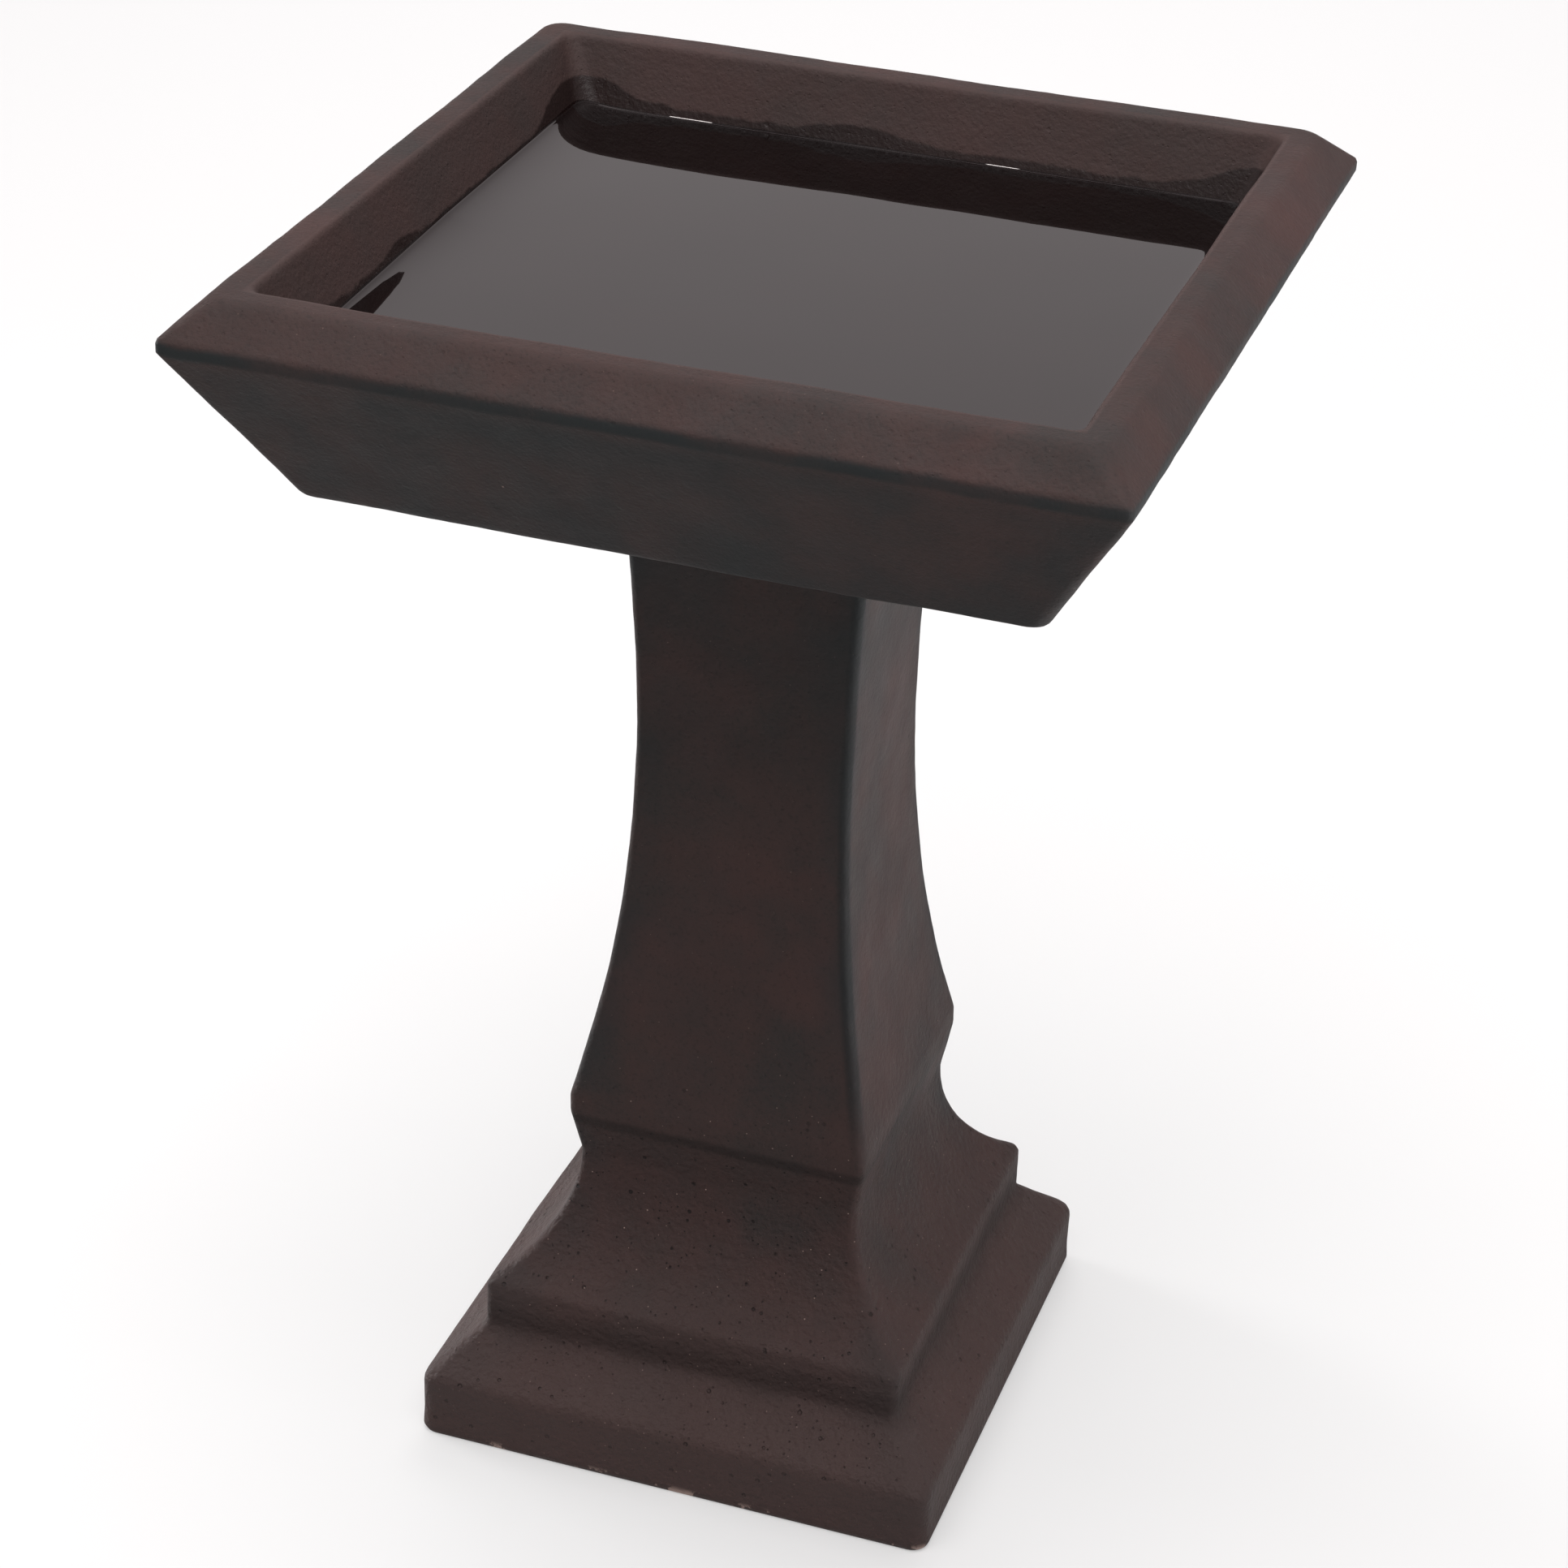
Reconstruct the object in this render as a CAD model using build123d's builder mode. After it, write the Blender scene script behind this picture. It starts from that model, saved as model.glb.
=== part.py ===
from build123d import *
import os

# Square garden bird bath in two fired-clay castings.
#
# A deep-rimmed square dish rests by its own weight on a hollow, flared pedestal.
# A cast boss under the dish drops into the open neck of the pedestal, so the dish
# can't slide off sideways but lifts straight up for cleaning.
#
# The origin is on the ground, at the middle of the pedestal's foot. +Z is up and
# the four sides of both castings face +X, -X, +Y and -Y. All sizes are in mm.

# Dish: heights above its own underside, widths across the flats.
rim_width = 387.0
dish_height = 91.5
dish_base_width = 307.0
rim_band_height = 5.0      # upright band round the outermost edge of the rim
rim_bevel = 15.5           # bevel between the band and the flat top of the rim
rim_flat = 12.5            # flat top of the rim, from the bevel to the recess
recess_depth = 59.5
recess_wall_lean = 24.5    # how much narrower the recess is at its floor, each side
recess_floor_round = 12.0
rim_corner_round = 6.0     # plan view, the four corners of the rim
dish_base_round = 6.0
rim_edge_round = 2.5

# Pedestal: heights above the ground, widths across the flats.
pedestal_height = 480.0
foot_width = 243.0
foot_side_height = 31.0
step_width = 197.0
step_bottom = 52.0
step_top = 74.0
neck_groove_width = 132.0
neck_groove_height = 134.0
collar_width = 140.0
collar_bottom = 156.0
collar_top = 165.0
waist_width = 98.5
waist_height = 335.0
head_width = 114.0
foot_round = 7.0
step_round = 6.0
collar_round = 4.0
foot_corner_round = 6.0    # plan view, the four corners of the foot

# Walls of the hollow pedestal.
shaft_wall = 16.0
foot_wall = 22.0
step_wall = 24.0

# Boss under the dish, and the gap it leaves all round in the neck.
boss_drop = 14.0
boss_clearance = 2.0
boss_round = 5.0

# Worked out from the sizes above.
rim_half = rim_width / 2
rim_top = pedestal_height + dish_height
bevel_bottom = rim_top - rim_bevel
band_bottom = bevel_bottom - rim_band_height
recess_half = rim_half - rim_bevel - rim_flat
recess_floor = rim_top - recess_depth
neck_hole_width = head_width - 2 * shaft_wall
boss_width = neck_hole_width - 2 * boss_clearance


def corner(sketch, x, z):
    """The corner of a side view that lies nearest to a point."""
    return sketch.vertices().sort_by_distance((x, z))[0]


os.makedirs("parts", exist_ok=True)

# ---------------------------------------------------------------- side views
# Each casting is square, so its side view is the same from the front and from
# the side. The right half is drawn and mirrored.

with BuildSketch() as dish_side:
    with BuildLine():
        Polyline(
            (0, pedestal_height),
            (dish_base_width / 2, pedestal_height),
            (rim_half, band_bottom),
            (rim_half, bevel_bottom),
            (rim_half - rim_bevel, rim_top),
            (0, rim_top),
            close=True,
        )
    make_face()
    fillet(corner(dish_side, dish_base_width / 2, pedestal_height), dish_base_round)
    fillet(corner(dish_side, rim_half - rim_bevel, rim_top), rim_edge_round)
    mirror(about=Plane.YZ)

with BuildSketch() as recess_side:
    with BuildLine():
        Polyline(
            (0, recess_floor),
            (recess_half - recess_wall_lean, recess_floor),
            (recess_half, rim_top),
            (0, rim_top),
            close=True,
        )
    make_face()
    fillet(corner(recess_side, recess_half - recess_wall_lean, recess_floor), recess_floor_round)
    mirror(about=Plane.YZ)

with BuildSketch() as pedestal_side:
    with BuildLine():
        Polyline(
            (0, 0),
            (foot_width / 2, 0),
            (foot_width / 2, foot_side_height),
            (step_width / 2, step_bottom),
            (step_width / 2, step_top),
        )
        TangentArc(
            (neck_groove_width / 2, neck_groove_height),
            (step_width / 2, step_top),
            tangent=(0, -1),
        )
        Polyline(
            (neck_groove_width / 2, neck_groove_height),
            (collar_width / 2, collar_bottom),
            (collar_width / 2, collar_top),
        )
        TangentArc(
            (waist_width / 2, waist_height),
            (collar_width / 2, collar_top),
            tangent=(0, -1),
        )
        TangentArc(
            (waist_width / 2, waist_height),
            (head_width / 2, pedestal_height),
            tangent=(0, 1),
        )
        Polyline((head_width / 2, pedestal_height), (0, pedestal_height), (0, 0))
    make_face()
    fillet(corner(pedestal_side, foot_width / 2, foot_side_height), foot_round)
    fillet(corner(pedestal_side, step_width / 2, step_bottom), step_round)
    fillet(corner(pedestal_side, step_width / 2, step_top), step_round)
    fillet(corner(pedestal_side, collar_width / 2, collar_bottom), collar_round)
    fillet(corner(pedestal_side, collar_width / 2, collar_top), collar_round)
    mirror(about=Plane.YZ)

with BuildSketch() as hollow_side:
    with BuildLine():
        Polyline(
            (0, 0),
            (foot_width / 2 - foot_wall, 0),
            (step_width / 2 - step_wall, step_bottom),
            (neck_groove_width / 2 - shaft_wall, neck_groove_height),
        )
        TangentArc(
            (waist_width / 2 - shaft_wall, waist_height),
            (neck_groove_width / 2 - shaft_wall, neck_groove_height),
            tangent=(0, -1),
        )
        TangentArc(
            (waist_width / 2 - shaft_wall, waist_height),
            (neck_hole_width / 2, pedestal_height),
            tangent=(0, 1),
        )
        Polyline((neck_hole_width / 2, pedestal_height), (0, pedestal_height), (0, 0))
    make_face()
    mirror(about=Plane.YZ)

# ---------------------------------------------------------------- the castings

# Space inside the pedestal, open at the foot and at the neck.
with BuildPart() as pedestal_hollow:
    with BuildSketch(Plane.XZ):
        add(hollow_side.sketch)
    extrude(amount=foot_width, both=True)
    with BuildSketch(Plane.YZ):
        add(hollow_side.sketch)
    extrude(amount=foot_width, both=True, mode=Mode.INTERSECT)

with BuildPart() as pedestal:
    with BuildSketch(Plane.XZ):
        add(pedestal_side.sketch)
    extrude(amount=foot_width, both=True)
    with BuildSketch(Plane.YZ):
        add(pedestal_side.sketch)
    extrude(amount=foot_width, both=True, mode=Mode.INTERSECT)
    with BuildSketch():
        RectangleRounded(foot_width, foot_width, foot_corner_round)
    extrude(amount=pedestal_height, mode=Mode.INTERSECT)
    add(pedestal_hollow.part, mode=Mode.SUBTRACT)

# Recess that holds the water.
with BuildPart() as dish_recess:
    with BuildSketch(Plane.XZ):
        add(recess_side.sketch)
    extrude(amount=rim_width, both=True)
    with BuildSketch(Plane.YZ):
        add(recess_side.sketch)
    extrude(amount=rim_width, both=True, mode=Mode.INTERSECT)

with BuildPart() as basin:
    with BuildSketch(Plane.XZ):
        add(dish_side.sketch)
    extrude(amount=rim_width, both=True)
    with BuildSketch(Plane.YZ):
        add(dish_side.sketch)
    extrude(amount=rim_width, both=True, mode=Mode.INTERSECT)
    with BuildSketch(Plane.XY.offset(pedestal_height)):
        RectangleRounded(rim_width, rim_width, rim_corner_round)
    extrude(amount=dish_height, mode=Mode.INTERSECT)
    add(dish_recess.part, mode=Mode.SUBTRACT)
    # Locating boss, cast in one with the dish.
    with BuildSketch(Plane.XY.offset(pedestal_height)):
        RectangleRounded(boss_width, boss_width, boss_round)
    extrude(amount=-boss_drop)

pedestal.part.label = "pedestal"
basin.part.label = "basin"
export_step(pedestal.part, "parts/pedestal.step")
export_step(basin.part, "parts/basin.step")
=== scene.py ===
"""The looks of the square bird bath: weathered fired clay, and still water in the dish.

The sizes and outlines are in millimetres, and so is any name that ends in _mm. Places,
lights and the camera are in metres. The two castings are remade as fine meshes with soft
edges and hand-finished unevenness, and ride on their CAD bodies.
"""
import math

import bpy
from mathutils import Matrix, Vector, noise


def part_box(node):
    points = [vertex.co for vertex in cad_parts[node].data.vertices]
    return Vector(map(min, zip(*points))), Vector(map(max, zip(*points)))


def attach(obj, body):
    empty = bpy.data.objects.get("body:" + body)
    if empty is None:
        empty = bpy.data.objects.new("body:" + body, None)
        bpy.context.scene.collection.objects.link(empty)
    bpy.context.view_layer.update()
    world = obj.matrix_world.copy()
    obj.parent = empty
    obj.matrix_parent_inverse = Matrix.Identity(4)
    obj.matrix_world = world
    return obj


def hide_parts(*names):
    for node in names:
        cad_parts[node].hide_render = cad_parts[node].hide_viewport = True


MM = 0.001  # one millimetre, in metres

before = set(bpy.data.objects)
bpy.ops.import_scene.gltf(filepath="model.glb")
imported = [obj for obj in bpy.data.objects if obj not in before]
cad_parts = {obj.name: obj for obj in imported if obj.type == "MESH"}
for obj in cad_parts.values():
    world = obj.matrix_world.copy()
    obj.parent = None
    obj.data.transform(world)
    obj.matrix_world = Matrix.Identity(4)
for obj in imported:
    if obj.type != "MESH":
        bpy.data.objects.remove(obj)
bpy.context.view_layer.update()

# ------------------------------------------------------------------ sizes, in mm
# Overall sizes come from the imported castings, the rest are the mouldings between.
basin_low, basin_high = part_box("basin")
pedestal_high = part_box("pedestal")[1]
rim_half = basin_high[0] / MM
rim_top = basin_high[2] / MM
boss_bottom = basin_low[2] / MM
foot_half = pedestal_high[0] / MM
seat = pedestal_high[2] / MM

dish_base_half = 153.5
boss_half = 39.0
band_height = 5.0
bevel = 15.5
rim_flat = 12.5
recess_depth = 59.5
floor_inset = 24.5
recess_half = rim_half - bevel - rim_flat
recess_floor = rim_top - recess_depth
floor_half = recess_half - floor_inset
water_depth_below_rim = 29.5
water_level = rim_top - water_depth_below_rim
wall_lean = (recess_half - floor_half) / (rim_top - recess_floor)
water_half = recess_half - wall_lean * water_depth_below_rim

step_half = 98.5
step_top = 74.0
step_bottom = 52.0
foot_side = 31.0
groove_half = 66.0
groove_height = 134.0
collar_half = 70.0
collar_bottom = 156.0
collar_top = 165.0
waist_half = 49.25
waist_height = 335.0
head_half = 57.0
shaft_wall = 16.0
step_wall = 24.0
foot_wall = 22.0


# ------------------------------------------------------------------ outlines
# An outline is a list of (half width, height, edge round, plan round), in mm.

def arc(start, end, steps):
    """Points of the circular arc that leaves start straight up or down and reaches end."""
    across = end[0] - start[0]
    along = end[1] - start[1]
    radius = (across ** 2 + along ** 2) / (2 * across)
    turn = math.asin(min(1.0, abs(along / radius)))
    if abs(across) > abs(radius):
        turn = math.pi - turn
    points = []
    for i in range(steps + 1):
        angle = turn * i / steps
        half = start[0] + radius * (1 - math.cos(angle))
        height = start[1] + math.copysign(abs(radius) * math.sin(angle), along)
        points.append((half, height))
    return points


def soften(outline, steps=6):
    """The outline with each corner replaced by a curve of its edge round."""
    path = [outline[0]]
    for before, here, after in zip(outline, outline[1:], outline[2:]):
        if here[2] <= 0:
            path.append(here)
            continue
        back = Vector(before[:2]) - Vector(here[:2])
        ahead = Vector(after[:2]) - Vector(here[:2])
        opening = back.angle(ahead)
        reach = here[2] / math.tan(opening / 2)
        reach = min(reach, 0.48 * back.length, 0.48 * ahead.length)
        start = Vector(here[:2]) + back.normalized() * reach
        end = Vector(here[:2]) + ahead.normalized() * reach
        for i in range(steps + 1):
            t = i / steps
            point = start * (1 - t) ** 2 + Vector(here[:2]) * 2 * t * (1 - t) + end * t ** 2
            path.append((point.x, point.y, 0, here[3]))
    path.append(outline[-1])
    return path


def resample(path, spacing, hidden):
    """The path cut into steps of about that spacing, keeping its ends. Steps are four
    times as long where hidden(half, height) says that nobody looks closely."""
    lengths = [0.0]
    for a, b in zip(path, path[1:]):
        middle = [(a[k] + b[k]) / 2 for k in (0, 1)]
        weight = 0.25 if hidden(*middle) else 1.0
        lengths.append(lengths[-1] + weight * math.dist(a[:2], b[:2]))
    count = max(1, round(lengths[-1] / spacing))
    points = []
    segment = 0
    for i in range(count + 1):
        at = lengths[-1] * i / count
        while segment < len(path) - 2 and lengths[segment + 1] < at:
            segment += 1
        span = lengths[segment + 1] - lengths[segment]
        share = 0.0 if span == 0 else (at - lengths[segment]) / span
        a, b = path[segment], path[segment + 1]
        points.append(tuple(a[k] + (b[k] - a[k]) * share for k in (0, 1, 3)))
    return points


def with_plan(points, plan_round):
    """Outline points that need no edge round of their own."""
    return [(half, height, 0, plan_round) for half, height in points]


# ------------------------------------------------------------------ meshes

def square_ring(half, plan_round, side_steps, corner_steps):
    """Points round a rounded square, anticlockwise from the -Y end of its +X side."""
    plan_round = min(plan_round, 0.9 * half)
    flat = half - plan_round
    ring = []
    for quarter in range(4):
        start_angle = quarter * math.pi / 2
        turn = Matrix.Rotation(start_angle, 2)
        for i in range(side_steps):
            ring.append(turn @ Vector((half, -flat + 2 * flat * i / side_steps)))
        for i in range(corner_steps):
            angle = math.pi / 2 * i / corner_steps
            offset = Vector((math.cos(angle), math.sin(angle))) * plan_round
            ring.append(turn @ (Vector((flat, flat)) + offset))
    return ring


def lofted(name, path, side_steps, corner_steps, closed):
    """A mesh through one rounded square for each point of the path.
    A closed path makes a tube; otherwise its first and last squares are capped."""
    vertices = []
    for half, height, plan_round in path:
        for point in square_ring(half, plan_round, side_steps, corner_steps):
            vertices.append((point.x * MM, point.y * MM, height * MM))
    around = 4 * (side_steps + corner_steps)
    rings = len(path)
    faces = []
    for i in range(rings if closed else rings - 1):
        low = i * around
        high = ((i + 1) % rings) * around
        for j in range(around):
            k = (j + 1) % around
            faces.append((low + j, low + k, high + k, high + j))
    if not closed:
        faces.append(tuple(reversed(range(around))))
        faces.append(tuple(range((rings - 1) * around, rings * around)))
    mesh = bpy.data.meshes.new(name)
    mesh.from_pydata(vertices, [], faces)
    mesh.update()
    for polygon in mesh.polygons:
        polygon.use_smooth = True
    piece = bpy.data.objects.new(name, mesh)
    bpy.context.scene.collection.objects.link(piece)
    return piece


def hand_finish(piece, held):
    """Presses the surface in a little, unevenly, as on a casting trowelled by hand.
    held(point) is 0 where the surface has to stay true and 1 where it is free."""
    mean_depth = 0.55
    # Each layer is (depth in mm, waves for each metre, where its pattern starts).
    layers = [
        (0.60, 13.0, Vector((0, 0, 0))),
        (0.24, 45.0, Vector((3.1, 0, 0))),
        (0.10, 170.0, Vector((0, 7.7, 0))),
    ]
    mesh = piece.data
    normals = [vertex.normal.copy() for vertex in mesh.vertices]
    for vertex, normal in zip(mesh.vertices, normals):
        at = vertex.co
        depth = mean_depth
        for amount, waves, offset in layers:
            depth -= amount * noise.noise(at * waves + offset)
        vertex.co = at - normal * (max(depth, 0.0) * MM * held(at))
    mesh.update()


# ------------------------------------------------------------------ the pedestal

def pedestal_outline():
    """Up the outside from the foot to the head, then down the inside of the hollow."""
    ridge = 4.5
    hollow = 5.0
    slope_end = 9.0
    seam_half = foot_half - 8
    inner_waist = (waist_half - shaft_wall, waist_height)
    cavetto = arc((groove_half, groove_height), (step_half, step_top), 10)
    shaft = arc((waist_half, waist_height), (collar_half, collar_top), 14)
    head = arc((waist_half, waist_height), (head_half, seat), 12)
    inner_shaft = arc(inner_waist, (groove_half - shaft_wall, groove_height), 8)
    inner_head = arc(inner_waist, (head_half - shaft_wall, seat), 8)
    outline = [(seam_half, 0, 0, ridge), (foot_half, 0, 3.0, ridge + 3)]
    outline += [(foot_half, foot_side, 8.0, ridge + 3)]
    outline += [(step_half + slope_end, step_bottom - slope_end, 7.0, ridge)]
    outline += [(step_half, step_bottom, 3.0, ridge)]
    outline += [(step_half, step_top, 4.0, ridge)]
    outline += with_plan(reversed(cavetto[1:-1]), ridge)
    outline += [(groove_half, groove_height, 10.0, ridge)]
    outline += [(collar_half, collar_bottom, 3.0, ridge)]
    outline += [(collar_half, collar_top, 7.0, ridge)]
    outline += with_plan(reversed(shaft[1:-1]), ridge)
    outline += with_plan(head[:-1], ridge)
    outline += [(head_half, seat, 2.0, ridge)]
    outline += [(head_half - shaft_wall, seat, 1.0, hollow)]
    outline += with_plan(reversed(inner_head[:-1]), hollow)
    outline += with_plan(inner_shaft[1:], hollow)
    outline += [(step_half - step_wall, step_bottom, 8.0, hollow)]
    outline += [(foot_half - foot_wall, 0, 2.0, hollow)]
    outline += [(seam_half, 0, 0, ridge)]
    return outline


def shaft_face(height):
    """Half the width of the outside at that height, roughly."""
    widening = 0.1
    if height < step_top:
        return step_half
    if height < collar_top:
        return groove_half
    return waist_half + widening * abs(height - waist_height) / 2


def make_pedestal():
    foot_margin = 15
    face_margin = 6
    ring_spacing = 2.4
    true_zone = 12 * MM

    def in_hollow(half, height):
        return half < foot_half - foot_margin and half < shaft_face(height) - face_margin

    path = resample(soften(pedestal_outline()), ring_spacing, in_hollow)[:-1]
    piece = lofted("pedestal_clay", path, 72, 7, closed=True)

    def held(at):
        from_ground = min(1.0, at.z / true_zone)
        from_seat = min(1.0, (seat * MM - at.z) / true_zone)
        return max(0.0, min(from_ground, from_seat))

    hand_finish(piece, held)
    return piece


# ------------------------------------------------------------------ the dish

def basin_outline():
    """From the middle of the boss, round the outside and the rim, to the middle of the floor."""
    return [
        (1.0, boss_bottom, 0, 0.5),
        (boss_half - 2, boss_bottom, 2.0, 5.0),
        (boss_half, seat, 1.0, 5.0),
        (dish_base_half, seat, 7.0, 7.0),
        (rim_half, rim_top - bevel - band_height, 1.6, 3.5),
        (rim_half, rim_top - bevel, 2.2, 3.5),
        (rim_half - bevel, rim_top, 6.0, 9.0),
        (recess_half, rim_top, 3.0, 6.0),
        (floor_half, recess_floor, 14.0, 12.0),
        (1.0, recess_floor, 0, 0.5),
    ]


def make_basin():
    ring_spacing = 1.9
    touching = 0.1
    seat_zone = 4 * MM
    seat_margin = 8
    seat_fade = 20

    def level(half, height):
        on_floor = height < recess_floor + touching and half < floor_half
        return height < seat + touching or on_floor

    path = resample(soften(basin_outline()), ring_spacing, level)
    piece = lofted("basin_clay", path, 116, 6, closed=False)

    def held(at):
        off_seat = max(abs(at.x), abs(at.y)) / MM - head_half - seat_margin
        if at.z > seat * MM + seat_zone:
            return 1.0
        return max(0.0, min(1.0, off_seat / seat_fade))

    hand_finish(piece, held)
    return piece


def make_water():
    """A flat surface whose edge climbs the clay a little, and more along the left wall.
    It runs on into the clay, so that no gap shows."""
    climb = 0.7
    reach = 1.0
    left_climb = 2.6
    left_reach = 9.0
    left_fade = 150
    plan_round = 8.0
    underside = (water_half - 12, water_level - 3.0, plan_round)
    insets = [-3.4, -0.6, 0.0, 0.5, 1.0, 1.6, 2.4, 3.4, 5.0, 7.0, 9.5, 12.5, 16.0, 20.0, 25.0,
              31.0, 38.0, 50.0, 70.0, 110.0, water_half - 1]
    path = [underside]
    for inset in insets:
        height = water_level + climb * math.exp(-max(inset, 0.0) / reach)
        path.append((water_half - inset, height, plan_round))
    piece = lofted("water", path, 104, 9, closed=False)
    for vertex in piece.data.vertices:
        inset = max(0.0, vertex.co.x / MM + water_half)
        along = max(0.0, min(1.0, (vertex.co.y / MM + left_fade) / left_fade))
        vertex.co.z += left_climb * math.exp(-inset / left_reach) * along * MM
    piece.data.update()
    return piece


# ------------------------------------------------------------------ materials

class Shader:
    """A material's node tree, with short calls for the nodes used here."""

    def __init__(self, name):
        self.material = bpy.data.materials.new(name)
        self.material.use_nodes = True
        self.tree = self.material.node_tree
        self.surface = self.tree.nodes["Principled BSDF"]
        self.place = self.tree.nodes.new("ShaderNodeTexCoord").outputs["Object"]
        self.x, self.y, self.z = self.split(self.place)

    def feed(self, socket, value):
        """Links a node's output to the socket, or sets the socket to a plain value."""
        if isinstance(value, bpy.types.NodeSocket):
            self.tree.links.new(value, socket)
        else:
            socket.default_value = value

    def split(self, vector):
        node = self.tree.nodes.new("ShaderNodeSeparateXYZ")
        self.feed(node.inputs[0], vector)
        return node.outputs[0], node.outputs[1], node.outputs[2]

    def math(self, operation, a, b=0.0, c=0.0):
        node = self.tree.nodes.new("ShaderNodeMath")
        node.operation = operation
        for socket, value in zip(node.inputs, (a, b, c)):
            self.feed(socket, value)
        return node.outputs[0]

    def between(self, value, low, high):
        """0 at low, 1 at high, and smooth in between. low may be above high."""
        node = self.tree.nodes.new("ShaderNodeMapRange")
        node.interpolation_type = "SMOOTHSTEP"
        flipped = low > high
        self.feed(node.inputs["Value"], value)
        node.inputs["From Min"].default_value = min(low, high)
        node.inputs["From Max"].default_value = max(low, high)
        node.inputs["To Min"].default_value = 1.0 if flipped else 0.0
        node.inputs["To Max"].default_value = 0.0 if flipped else 1.0
        return node.outputs["Result"]

    def moved(self, offset, stretch=(1, 1, 1)):
        node = self.tree.nodes.new("ShaderNodeMapping")
        self.feed(node.inputs["Vector"], self.place)
        node.inputs["Location"].default_value = offset
        node.inputs["Scale"].default_value = stretch
        return node.outputs[0]

    def cloud(self, size_mm, offset=(0, 0, 0), detail=4.0, roughness=0.55, stretch=(1, 1, 1)):
        """Noise whose blotches are about size_mm across, from 0 to 1."""
        node = self.tree.nodes.new("ShaderNodeTexNoise")
        self.feed(node.inputs["Vector"], self.moved(offset, stretch))
        node.inputs["Scale"].default_value = 1 / (size_mm * MM)
        node.inputs["Detail"].default_value = detail
        node.inputs["Roughness"].default_value = roughness
        return node.outputs["Fac"]

    def dots(self, spacing_mm, radius_mm, share, offset=(0, 0, 0)):
        """1 inside small round dots, at that share of the points of a scattered grid."""
        node = self.tree.nodes.new("ShaderNodeTexVoronoi")
        self.feed(node.inputs["Vector"], self.moved(offset))
        node.inputs["Scale"].default_value = 1 / (spacing_mm * MM)
        pick = self.tree.nodes.new("ShaderNodeSeparateColor")
        self.feed(pick.inputs[0], node.outputs["Color"])
        chosen = self.math("LESS_THAN", pick.outputs[0], share)
        size = self.math("MULTIPLY_ADD", pick.outputs[1], 0.7 * radius_mm / spacing_mm,
                         0.3 * radius_mm / spacing_mm)
        depth = self.math("SUBTRACT", 1.0, self.math("DIVIDE", node.outputs["Distance"], size))
        inside = self.between(depth, 0.0, 0.5)
        return self.math("MULTIPLY", inside, chosen)

    def mix(self, factor, a, b):
        node = self.tree.nodes.new("ShaderNodeMix")
        node.data_type = "RGBA"
        self.feed(node.inputs["Factor"], factor)
        self.feed(node.inputs["A"], a)
        self.feed(node.inputs["B"], b)
        return node.outputs["Result"]

    def stained(self, tone, stain, where, strength):
        """The tone turned towards the stain where that is 1, by that strength."""
        return self.mix(self.math("MULTIPLY", where, strength), tone, stain)

    def bump(self, height, depth_mm, before=None):
        node = self.tree.nodes.new("ShaderNodeBump")
        self.feed(node.inputs["Height"], height)
        node.inputs["Distance"].default_value = depth_mm * MM
        node.inputs["Strength"].default_value = 1.0
        if before is not None:
            self.feed(node.inputs["Normal"], before)
        return node.outputs[0]

    def as_clay(self, tone, roughness, normal):
        """The finished material, with the low gloss of dry clay."""
        self.feed(self.surface.inputs["Base Color"], tone)
        self.feed(self.surface.inputs["Roughness"], roughness)
        self.feed(self.surface.inputs["Normal"], normal)
        self.surface.inputs["Specular IOR Level"].default_value = 0.14
        return self.material


def colour(red, green, blue):
    """A linear colour from the sRGB values a colour picker shows, 0 to 255."""
    def linear(value):
        share = value / 255
        return share / 12.92 if share <= 0.04045 else ((share + 0.055) / 1.055) ** 2.4
    return (linear(red), linear(green), linear(blue), 1.0)


BROWN = colour(50, 37, 35)
RUST = colour(56, 39, 37)
SMOKE = colour(38, 35, 34)
BLUE_BLACK = colour(29, 33, 34)
DUST = colour(64, 50, 48)
PALE_CLAY = colour(150, 128, 120)
# Dark of the pits and pores, also used for the painted shade lines under the collar and step.
PIT_AND_SHADE = colour(18, 13, 12)
WET = colour(14, 8, 8)
# Dark used only for painted shade: on the right-hand ridges of the shaft and the dish's outer wall.
PAINTED_SHADE = colour(19, 22, 23)


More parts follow.
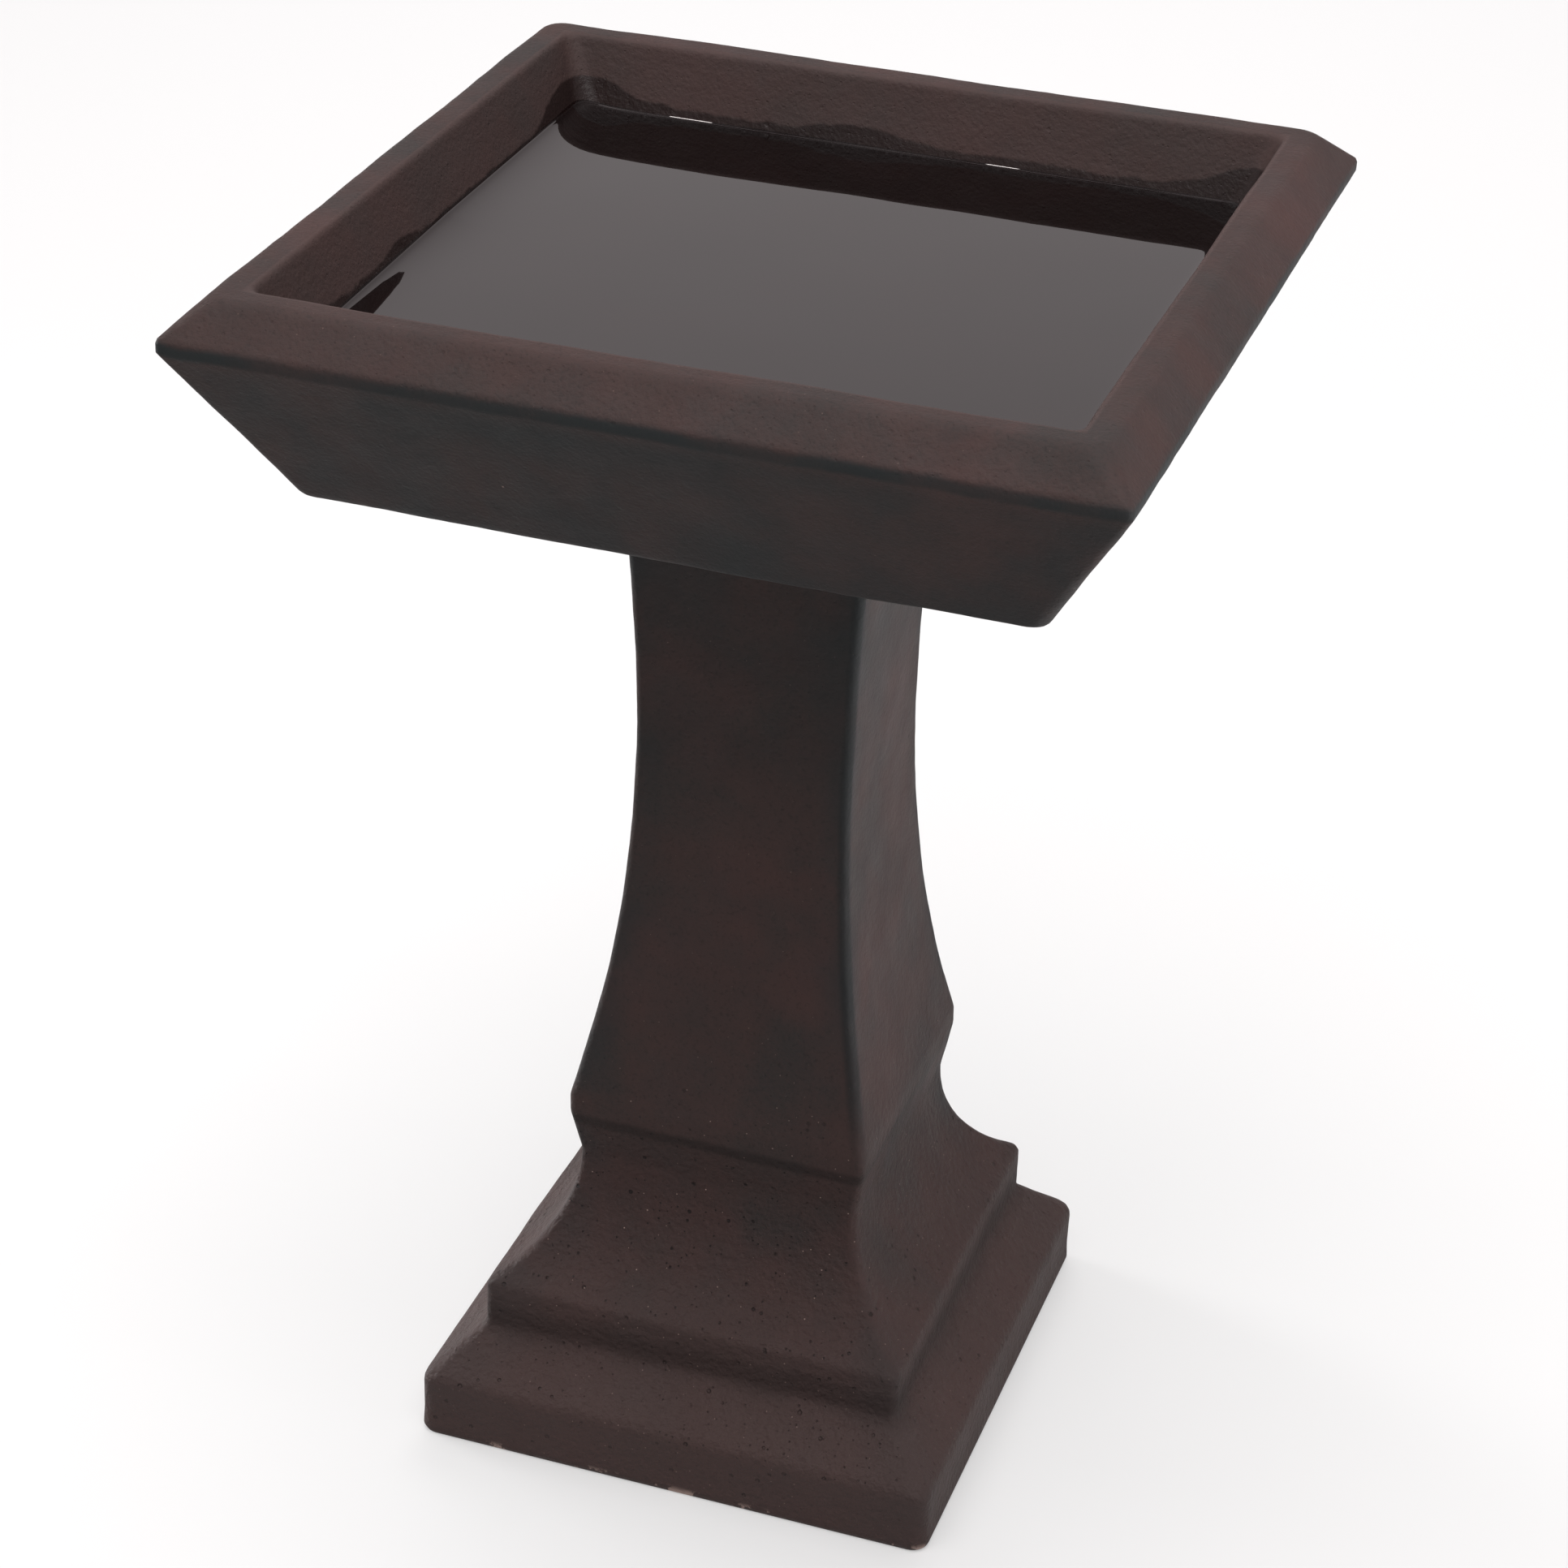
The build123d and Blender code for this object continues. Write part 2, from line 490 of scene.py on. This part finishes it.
def clay_base(shader):
    """The dry clay, as (colour, roughness, normal). It is coarser low down."""
    warm = shader.between(shader.cloud(75, (0.31, 0.0, 0.17)), 0.42, 0.66)
    smoke = shader.between(shader.cloud(60, (0.0, 0.83, 0.29), detail=5), 0.45, 0.68)
    veil = shader.between(shader.cloud(34, (0.57, 0.11, 0.0), detail=6, roughness=0.65), 0.35, 0.75)
    grain = shader.cloud(1.6, detail=3)
    tone = shader.stained(BROWN, RUST, warm, 0.75)
    tone = shader.stained(tone, SMOKE, smoke, 0.75)
    tone = shader.stained(tone, BLUE_BLACK, veil, 0.35)
    tone = shader.stained(tone, RUST, shader.between(grain, 0.35, 0.75), 0.22)
    tone = shader.stained(tone, PIT_AND_SHADE, shader.between(grain, 0.46, 0.28), 0.3)
    low_down = shader.between(shader.z, 0.22, 0.10)
    coarse = shader.math("MULTIPLY_ADD", low_down, 0.85, 0.15)
    pits = shader.dots(6.0, 1.3, 0.42)
    pores = shader.dots(2.6, 0.62, 0.50, (0.2, 0.4, 0.1))
    specks = shader.dots(3.2, 0.42, 0.42, (0.7, 0.2, 0.5))
    holes = shader.math("MULTIPLY", shader.math("MAXIMUM", pits, pores), coarse)
    tone = shader.mix(holes, tone, PIT_AND_SHADE)
    tone = shader.stained(tone, PALE_CLAY, specks, coarse)
    peel = shader.cloud(3.2, (0.4, 0.9, 0.2), detail=3)
    peel = shader.math("MULTIPLY", peel, shader.math("MULTIPLY_ADD", low_down, 0.78, 0.22))
    normal = shader.bump(peel, 1.5)
    normal = shader.bump(grain, 0.25, normal)
    normal = shader.bump(shader.math("SUBTRACT", 1.0, holes), 0.9, normal)
    roughness = shader.math("MULTIPLY_ADD", shader.cloud(22, (0.9, 0.3, 0.6)), 0.22, 0.52)
    return tone, roughness, normal


def near_ridge(shader):
    """1 along the four upright ridges of a casting, fading over its faces."""
    across_x = shader.math("ABSOLUTE", shader.x)
    across_y = shader.math("ABSOLUTE", shader.y)
    narrow = shader.math("MINIMUM", across_x, across_y)
    wide = shader.math("MAXIMUM", across_x, across_y)
    return shader.between(shader.math("DIVIDE", narrow, wide), 0.62, 1.0)


def dark_line(shader, height_mm, reach_mm):
    """1 along a level line round the casting, wavering and fading over reach_mm."""
    waver = shader.cloud(26, (0.8, 0.1, 0.3), detail=3, stretch=(1, 1, 0))
    line = shader.math("MULTIPLY_ADD", waver, reach_mm * MM, (height_mm - reach_mm / 2) * MM)
    away = shader.math("ABSOLUTE", shader.math("SUBTRACT", shader.z, line))
    return shader.between(away, reach_mm * MM, 0.25 * reach_mm * MM)


def pedestal_clay():
    """Sooty ridges, smudges and painted shade on the head under the dish, painted shade along the
    right-hand ridges of the shaft and in lines under the collar and step, and a dusty, chipped foot.
    """
    shader = Shader("pedestal fired clay")
    tone, roughness, normal = clay_base(shader)
    soot_patch = shader.between(shader.cloud(90, (0.13, 0.41, 0.77)), 0.38, 0.6)
    soot_and_shade = shader.math("MULTIPLY", near_ridge(shader), soot_patch)
    tone = shader.stained(tone, BLUE_BLACK, soot_and_shade, 0.7)
    # Patchy darkening of the head under the dish: smudges, and painted shade where the dish overhangs.
    under_dish = shader.between(shader.z, 0.28, 0.44)
    smudge_and_dish_shade = shader.between(shader.cloud(46, (0.35, 0.55, 0.15), detail=4), 0.30, 0.62)
    smudge_and_dish_shade = shader.math("MULTIPLY", smudge_and_dish_shade, under_dish)
    tone = shader.stained(tone, BLUE_BLACK, smudge_and_dish_shade, 0.6)
    # Painted shade: a dark strip along the right-hand ridges of the shaft, dulling the light the rounded
    # ridges catch.
    ridge_shade = shader.between(near_ridge(shader), 0.80, 0.97)
    on_shaft = shader.between(shader.z, 0.15, 0.20)
    ridge_shade = shader.math("MULTIPLY", ridge_shade, on_shaft)
    ridge_shade = shader.math("MULTIPLY", ridge_shade, shader.between(shader.x, 0.0, 0.02))
    tone = shader.stained(tone, PAINTED_SHADE, ridge_shade, 0.8)
    # Painted shade: a dark line under the collar.
    collar_shade = dark_line(shader, collar_bottom - 3.0, 4.5)
    tone = shader.stained(tone, PIT_AND_SHADE, collar_shade, 0.55)
    dusty = shader.between(shader.z, groove_height * MM, foot_side * MM)
    tone = shader.stained(tone, DUST, dusty, 0.65)
    # Painted shade: a broad dark line under the step.
    step_shade = dark_line(shader, step_bottom + 5.0, 11.0)
    tone = shader.stained(tone, PIT_AND_SHADE, step_shade, 0.35)
    chip_edge = shader.between(shader.z, 5 * MM, 1.0 * MM)
    chip = shader.between(shader.cloud(16, (0.33, 0.07, 0.5), detail=5, roughness=0.7), 0.56, 0.6)
    chip = shader.math("MULTIPLY", chip, chip_edge)
    tone = shader.mix(chip, tone, PALE_CLAY)
    return shader.as_clay(tone, roughness, normal)


def basin_clay():
    """The dish is the same clay, dark and shiny where the water has wetted its inside, with painted
    shade along its band and on its outer wall.
    """
    shader = Shader("basin fired clay")
    tone, roughness, normal = clay_base(shader)
    across = shader.math("MAXIMUM", shader.math("ABSOLUTE", shader.x), shader.math("ABSOLUTE", shader.y))
    inside = shader.between(across, (recess_half + 2.5) * MM, (recess_half + 1.5) * MM)
    above_floor = shader.math("GREATER_THAN", shader.z, (recess_floor - 4) * MM)
    inside = shader.math("MULTIPLY", inside, above_floor)
    upright = (1, 1, 0)
    splash = shader.between(shader.cloud(85, (0.05, 0.62, 0.4), 1, stretch=upright), 0.42, 0.70)
    ragged = shader.cloud(12, (0.2, 0.1, 0.9), detail=4, stretch=upright)
    in_corner = shader.math("MULTIPLY_ADD", splash, 0.7, 0.3)
    corner_splash = shader.math("MULTIPLY", near_ridge(shader), in_corner)
    reach = shader.math("MULTIPLY_ADD", splash, 5 * MM, (water_level + 1.0) * MM)
    reach = shader.math("MULTIPLY_ADD", corner_splash, 17 * MM, reach)
    reach = shader.math("MULTIPLY_ADD", ragged, 5 * MM, reach)
    above = shader.math("SUBTRACT", shader.z, reach)
    wet = shader.math("MULTIPLY", shader.between(above, 0.9 * MM, -0.9 * MM), inside)
    # Painted shade: a dark, uneven line on the band's face under the bevel.
    band_shade_line = dark_line(shader, rim_top - bevel - 0.6 * band_height, 4.2)
    soot_and_shade = shader.between(shader.cloud(48, (0.6, 0.2, 0.9)), 0.34, 0.6)
    soot_and_shade = shader.math("MULTIPLY_ADD", soot_and_shade, 0.5, 0.45)
    outside = shader.math("SUBTRACT", 1.0, inside)
    soot_and_shade = shader.math("MULTIPLY", shader.math("MULTIPLY", soot_and_shade, band_shade_line), outside)
    tone = shader.mix(soot_and_shade, tone, BLUE_BLACK)
    low_wall = shader.between(shader.z, (rim_top - bevel) * MM, (rim_top - bevel - 14) * MM)
    # Patchy darkening of the outer wall below the band: partly grime, partly painted shade of the wall
    # that faces down.
    grime_and_shade = shader.between(shader.cloud(70, (0.9, 0.4, 0.1), detail=5), 0.36, 0.62)
    grime_and_shade = shader.math("MULTIPLY", grime_and_shade, shader.math("MULTIPLY", low_wall, outside))
    tone = shader.stained(tone, BLUE_BLACK, grime_and_shade, 0.7)
    # Painted shade: the whole outer wall below the band a little darker, as the wall faces down.
    shade = shader.math("MULTIPLY", low_wall, outside)
    tone = shader.stained(tone, PAINTED_SHADE, shade, 0.2)
    scuffs = shader.math("MULTIPLY", shader.dots(24.0, 0.9, 0.14, (0.3, 0.6, 0.2)), outside)
    tone = shader.stained(tone, PALE_CLAY, scuffs, 0.7)
    tone = shader.stained(tone, DUST, inside, 0.4)
    soaked = shader.mix(0.72, tone, WET)
    tone = shader.mix(wet, tone, soaked)
    roughness = shader.math("MULTIPLY", roughness, shader.math("MULTIPLY_ADD", wet, -0.5, 1.0))
    return shader.as_clay(tone, roughness, normal)


def still_water():
    """Nearly black, with a mirror gloss. The bubbles are part of its colour, and so is a painted
    highlight: light segments along its back edge."""
    shader = Shader("still water")
    floor = shader.between(shader.cloud(55, (0.4, 0.3, 0.0), detail=4), 0.4, 0.7)
    tone = shader.mix(floor, colour(4, 1, 1), colour(6, 1, 1))
    bubbles = shader.dots(46.0, 0.9, 0.16, (0.1, 0.3, 0.0))
    edge_distance = shader.math("ABSOLUTE", shader.math("SUBTRACT", shader.y, (water_half + 0.25) * MM))
    back_edge = shader.between(edge_distance, 0.36 * MM, 0.2 * MM)
    # Painted highlight: short light segments along the back waterline, where its edge would catch the
    # light.
    painted_glint = shader.between(shader.cloud(34, (0.5, 0.9, 0.0), detail=2, stretch=(1, 0, 0)), 0.54, 0.56)
    painted_glint = shader.math("MULTIPLY", painted_glint, back_edge)
    bright = shader.math("MAXIMUM", bubbles, painted_glint)
    tone = shader.mix(bright, tone, colour(215, 210, 208))
    shader.feed(shader.surface.inputs["Base Color"], tone)
    shader.surface.inputs["Roughness"].default_value = 0.015
    shader.surface.inputs["IOR"].default_value = 1.36
    shader.surface.inputs["Specular Tint"].default_value = (1.0, 0.86, 0.88, 1.0)
    ripple = shader.cloud(120, (0.1, 0.5, 0.0), detail=1)
    shader.feed(shader.surface.inputs["Normal"], shader.bump(ripple, 0.25))
    return shader.material


def studio_floor():
    """Plain and pale. It gives out some light of its own, so that it stays even."""
    shader = Shader("studio floor")
    shader.surface.inputs["Base Color"].default_value = (0.36, 0.36, 0.36, 1.0)
    shader.surface.inputs["Emission Color"].default_value = (1.0, 1.0, 1.0, 1.0)
    shader.surface.inputs["Emission Strength"].default_value = 0.38
    shader.surface.inputs["Roughness"].default_value = 0.9
    shader.surface.inputs["Specular IOR Level"].default_value = 0.1
    return shader.material


# ------------------------------------------------------------------ studio

def area_light(name, place, aim, size, power, tint=(1, 1, 1)):
    """A rectangular light at place, turned to aim. Its power is in watts."""
    light = bpy.data.lights.new(name, "AREA")
    light.shape = "RECTANGLE"
    light.size, light.size_y = size
    light.energy = power
    light.color = tint
    lamp = bpy.data.objects.new(name, light)
    lamp.location = place
    lamp.rotation_euler = (Vector(aim) - Vector(place)).to_track_quat("-Z", "Y").to_euler()
    lamp.visible_camera = False
    bpy.context.scene.collection.objects.link(lamp)
    return lamp


def make_studio():
    """The floor, a dim world, and the lights. Three of the four cards are only reflected."""
    floor_width = 200
    bpy.ops.mesh.primitive_plane_add(size=floor_width, location=(0, 0, 0))
    floor = bpy.context.object
    floor.name = "studio_floor"
    floor.data.materials.append(studio_floor())

    world = bpy.data.worlds.new("studio")
    world.use_nodes = True
    background = world.node_tree.nodes["Background"]
    background.inputs["Color"].default_value = (1.0, 1.0, 1.0, 1.0)
    background.inputs["Strength"].default_value = 0.17
    bpy.context.scene.world = world

    middle = (0, 0, 0.35)
    key = area_light("key", (1.9, -0.05, 0.32), (0, 0, 0.42), (0.9, 0.35), 1.9)
    key.data.spread = math.radians(26)
    area_light("top", (0.0, -0.5, 4.0), middle, (4.5, 4.5), 298, (1.0, 0.965, 0.965))
    area_light("front_top", (0.5, -2.6, 3.0), (0, 0, 0.1), (2.0, 2.0), 17)
    behind = area_light("back_top", (-0.5, 2.6, 3.0), (0, 0, 0.1), (2.0, 2.0), 40)
    behind.visible_glossy = False
    left_fill = area_light("left_fill", (-2.3, 0.5, 0.5), (0, 0, 0.25), (0.9, 0.6), 3.5)
    left_fill.data.spread = math.radians(40)
    for quarter in range(4):
        place = Matrix.Rotation(quarter * math.pi / 2, 3, "Z") @ Vector((-0.6, 3.4, 2.2))
        card = area_light("card", place, (0, 0, 0.5), (5.0, 3.0), 41, (1.0, 0.93, 0.94))
        if quarter > 0:
            card.visible_diffuse = False


def make_camera():
    """A long lens from the front, a little to the right, and above the rim, tipped slightly."""
    azimuth = math.radians(17.93)
    elevation = math.radians(29.37)
    roll = math.radians(2.11)
    distance = 1.7619
    aim_height = 0.3031
    aim_aside = 0.0036
    lens_mm = 92.24
    outward = math.cos(elevation)
    back = Vector((math.sin(azimuth) * outward, -math.cos(azimuth) * outward, math.sin(elevation)))
    level = Vector((math.cos(azimuth), math.sin(azimuth), 0))
    upward = back.cross(level)
    right = level * math.cos(roll) + upward * math.sin(roll)
    up = upward * math.cos(roll) - level * math.sin(roll)
    target = Vector((0, 0, aim_height)) + level * aim_aside
    place = target + back * distance
    data = bpy.data.cameras.new("camera")
    data.lens = lens_mm
    data.sensor_width = 36.0
    camera = bpy.data.objects.new("camera", data)
    axes = Matrix((right, up, back)).transposed().to_4x4()
    camera.matrix_world = Matrix.Translation(place) @ axes
    bpy.context.scene.collection.objects.link(camera)
    bpy.context.scene.camera = camera


# ------------------------------------------------------------------ the scene

make_camera()
make_studio()
bpy.context.scene.view_settings.view_transform = "Standard"

pedestal = make_pedestal()
pedestal.data.materials.append(pedestal_clay())
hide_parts("pedestal")
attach(pedestal, "pedestal")

basin = make_basin()
basin.data.materials.append(basin_clay())
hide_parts("basin")
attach(basin, "basin")

water = make_water()
water.data.materials.append(still_water())
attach(water, "basin")
